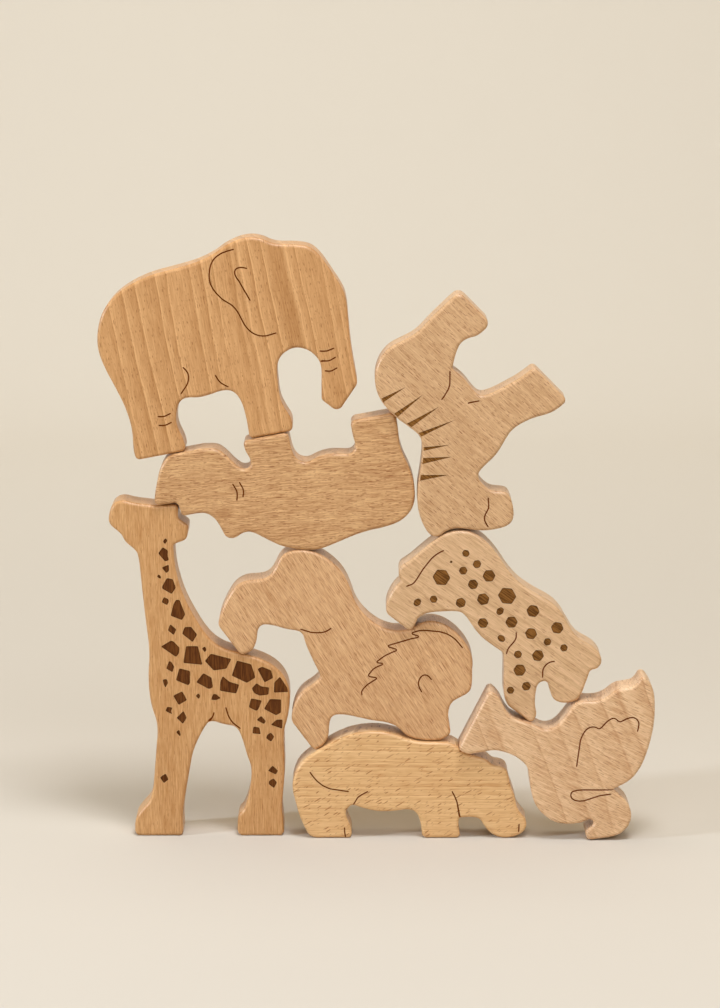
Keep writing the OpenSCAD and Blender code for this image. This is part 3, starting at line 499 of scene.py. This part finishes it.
beech(engraved_board("ostrich"), along=-27, seed=(700, 200, 100), heart=(0, 20, -220),
      ring_width=15.0, ring_contrast=-0.8, ring_bend=6.0, ring_slope=0.97,
      ray_length=3.4, ray_width=0.3, ray_gap=1.0, ray_share=0.65, ray_depth=0.7, fibre=0.6, cloud=0.25,
      pale="#E4C096", deep="#BE8F63", ray="#8F5B33")

# The lion
# The lion stands on its nose and a forefoot on the hippo's back, and leans a hind foot on the giraffe.
# Its mane, belly and ear are single burnt lines.

beech(engraved_board("lion"), along=-56, seed=(300, 300, 800), heart=(0, 50, -260),
      ring_width=6.0, ring_contrast=0.16, ring_bend=5.0, ray_length=5.0, ray_width=0.3, ray_gap=1.2,
      ray_share=0.75, sway=0.4, ray_depth=0.85, fibre=0.55, cloud=0.3,
      pale="#DEB485", deep="#B58455", ray="#8B5429")

# The leopard
# The leopard lies across the lion's neck and the ostrich. Its spots are six-sided patches, burnt in a
# mid brown that leaves the grain to be seen.

beech(engraved_board("leopard"), along=-35, seed=(900, 400, 500), heart=(0, 40, -150),
      ring_width=5.2, ring_contrast=-0.5, ring_bend=4.0, ray_length=3.6, ray_width=0.45, ray_gap=1.8,
      ray_share=0.45, ray_depth=0.6, fibre=0.45, cloud=0.3,
      pale="#E0BA90", deep="#B58D61", ray="#91603B", char="#4C2C0C", scorch="#8A5C2B", streaks=0.8)

# The rhino
# The rhino lies on its back over the giraffe's head and the lion's rump, with its feet up. Its grain
# runs level along its body, in short close rays.

beech(engraved_board("rhino"), along=4, seed=(200, 800, 400), heart=(0, 25, -140),
      ring_width=9.0, ring_contrast=0.16, ring_bend=6.0, ray_length=2.6, ray_width=0.4, ray_gap=1.15,
      ray_share=0.75, ray_depth=0.7, sway=3.0, fibre=0.6, cloud=0.5,
      pale="#DAAF7C", deep="#A67547", ray="#80471A")

# The elephant
# The elephant stands on the rhino's feet. Its board is cut on the quarter, so its rings run straight
# and upright as pale and dark bands.

beech(engraved_board("elephant"), along=101, seed=(500, 600, 700), heart=(0, 40, -330),
      ring_width=7.0, ring_contrast=1.0, ring_bend=4.0, ray_length=2.2, ray_width=0.45, ray_gap=1.6,
      ray_share=0.45, ray_depth=0.65, fibre=0.35, cloud=0.3,
      pale="#D8A771", deep="#AD7A46", ray="#85501B")

# The zebra
# The zebra stands on its nose and neck on the leopard and leans on the rhino, with its feet in the
# air. Its stripes are wedges burnt from its back into its side, and run out onto the rounded edge.

beech(engraved_board("zebra", patch_corner=0.15, near=2.6, further=2.4), along=138,
      seed=(600, 700, 900), heart=(0, 70, -200), ring_width=5.0, ring_contrast=0.3, ring_bend=5.0,
      ray_length=3.2, ray_width=0.36, ray_gap=1.5, ray_share=0.7, ray_depth=0.85, fibre=0.45, cloud=0.25,
      pale="#DDB68A", deep="#B18558", ray="#824D21", char="#54300F", scorch="#93642F", streaks=0.8)

# The table and the backdrop
# A sheet of pale paper lies on the table and sweeps up behind the pile. It is not part of the object.


def sweep(near=-1.6, bend=1.1, radius=0.9, top=2.6, width=4.0, columns=40, painted_light_fade=(0.1, 1.4)):
    """Paper that runs level from near to bend, turns up on a quarter circle and ends at top. Its colour
    grows paler over the fade, as painted light: the paler paint up the backdrop stands in for light,
    since the lamps light the table more than the wall. It is clear from behind, so that the pile can be
    seen from there too."""
    turn = np.linspace(0, np.pi / 2, columns)
    y = np.concatenate([[near], bend + radius * np.sin(turn), [bend + radius]])
    z = np.concatenate([[0], radius * (1 - np.cos(turn)), [top]])
    points = [(x, a, b) for x in (-width / 2, width / 2) for a, b in zip(y, z)]
    n = len(y)
    mesh = bpy.data.meshes.new("paper")
    mesh.from_pydata(points, [], [(k, k + n, k + n + 1, k + 1) for k in range(n - 1)])
    mesh.shade_smooth()
    paper = bpy.data.objects.new("paper", mesh)
    bpy.context.scene.collection.objects.link(paper)
    material = bpy.data.materials.new("paper")
    material.use_nodes = True
    tree = material.node_tree
    part = split(tree, wired(tree, "ShaderNodeTexCoord").outputs["Object"])
    shader = tree.nodes["Principled BSDF"]
    # Painted light: darker paint on the table near the pile and paler paint up the backdrop, in place of
    # the lamps' light falling more on the table than on the wall.
    colour = mixed(tree, spread(tree, part[1], *painted_light_fade), paint("#CEC6B8"), paint("#EEE9DF"))
    tree.links.new(colour, shader.inputs["Base Color"])
    shader.inputs["Roughness"].default_value = 0.9
    shader.inputs["Specular IOR Level"].default_value = 0.1
    behind = wired(tree, "ShaderNodeNewGeometry").outputs["Backfacing"]
    tree.links.new(calc(tree, "SUBTRACT", 1.0, behind), shader.inputs["Alpha"])
    mesh.materials.append(material)


sweep()

# The studio
# A softbox in front and a lamp overhead light the pile evenly, a lamp on each side throws one of its
# two faint shadows, and a fifth lights the paper. The camera looks slightly down from the front.


def lamp(name, place, size, watts, colour, aim=(0, 0, 0.1)):
    """A square lamp of that size in metres, turned towards the point that it lights."""
    light = bpy.data.lights.new(name, "AREA")
    light.size, light.energy, light.color = size, watts, paint(colour)[:3]
    thing = bpy.data.objects.new(name, light)
    bpy.context.scene.collection.objects.link(thing)
    thing.location = place
    away = np.array(place) - np.array(aim)
    thing.rotation_euler = (np.arctan2(np.hypot(away[0], away[1]), away[2]), 0,
                            np.arctan2(away[0], -away[1]))


lamp("front softbox", (0.1, -1.9, 1.3), 1.5, 12.5, "#EFF5FF")
lamp("right lamp", (0.9, -1.25, 1.15), 0.4, 4.6, "#E4EFFF")
lamp("left lamp", (-1.42, -0.5, 0.58), 0.1, 15.0, "#DCEBFF")
lamp("ceiling lamp", (0.15, -0.4, 1.3), 0.4, 11.0, "#F2F6FF")
lamp("backdrop lamp", (-0.2, 0.7, 2.1), 1.5, 15.4, "#FFFBF4", aim=(0, 2.0, 0.4))

# The room
# The walls of the room fill the shadows with a weak warm light. Where they are seen, mirrored or seen
# through something, they are as pale as the paper.

room_light, room_seen = 0.26, 0.95
world = bpy.data.worlds.new("room")
world.use_nodes = True
room = world.node_tree
background = room.nodes["Background"]
light_path = wired(room, "ShaderNodeLightPath").outputs
seen = calc(room, "MAXIMUM", light_path["Is Camera Ray"], light_path["Is Transmission Ray"])
seen = calc(room, "MAXIMUM", seen, light_path["Is Glossy Ray"])
room.links.new(mixed(room, seen, paint("#FFDE9C"), paint("#E6DCCB")), background.inputs["Color"])
strength = spread(room, seen, 0.0, 1.0, room_light, room_seen, "LINEAR")
room.links.new(strength, background.inputs["Strength"])
bpy.context.scene.world = world

# The camera
# The camera stands a metre and a half in front of the pile and looks ten degrees down on it, through
# a long lens.

lens = bpy.data.cameras.new("camera")
lens.lens, lens.sensor_width = 125, 36
camera = bpy.data.objects.new("camera", lens)
bpy.context.scene.collection.objects.link(camera)
camera.location = (-0.00789, -1.5135, 0.4160)
camera.rotation_euler = (radians(90 - 10), 0, 0)
bpy.context.scene.camera = camera
bpy.context.scene.view_settings.view_transform = "Standard"
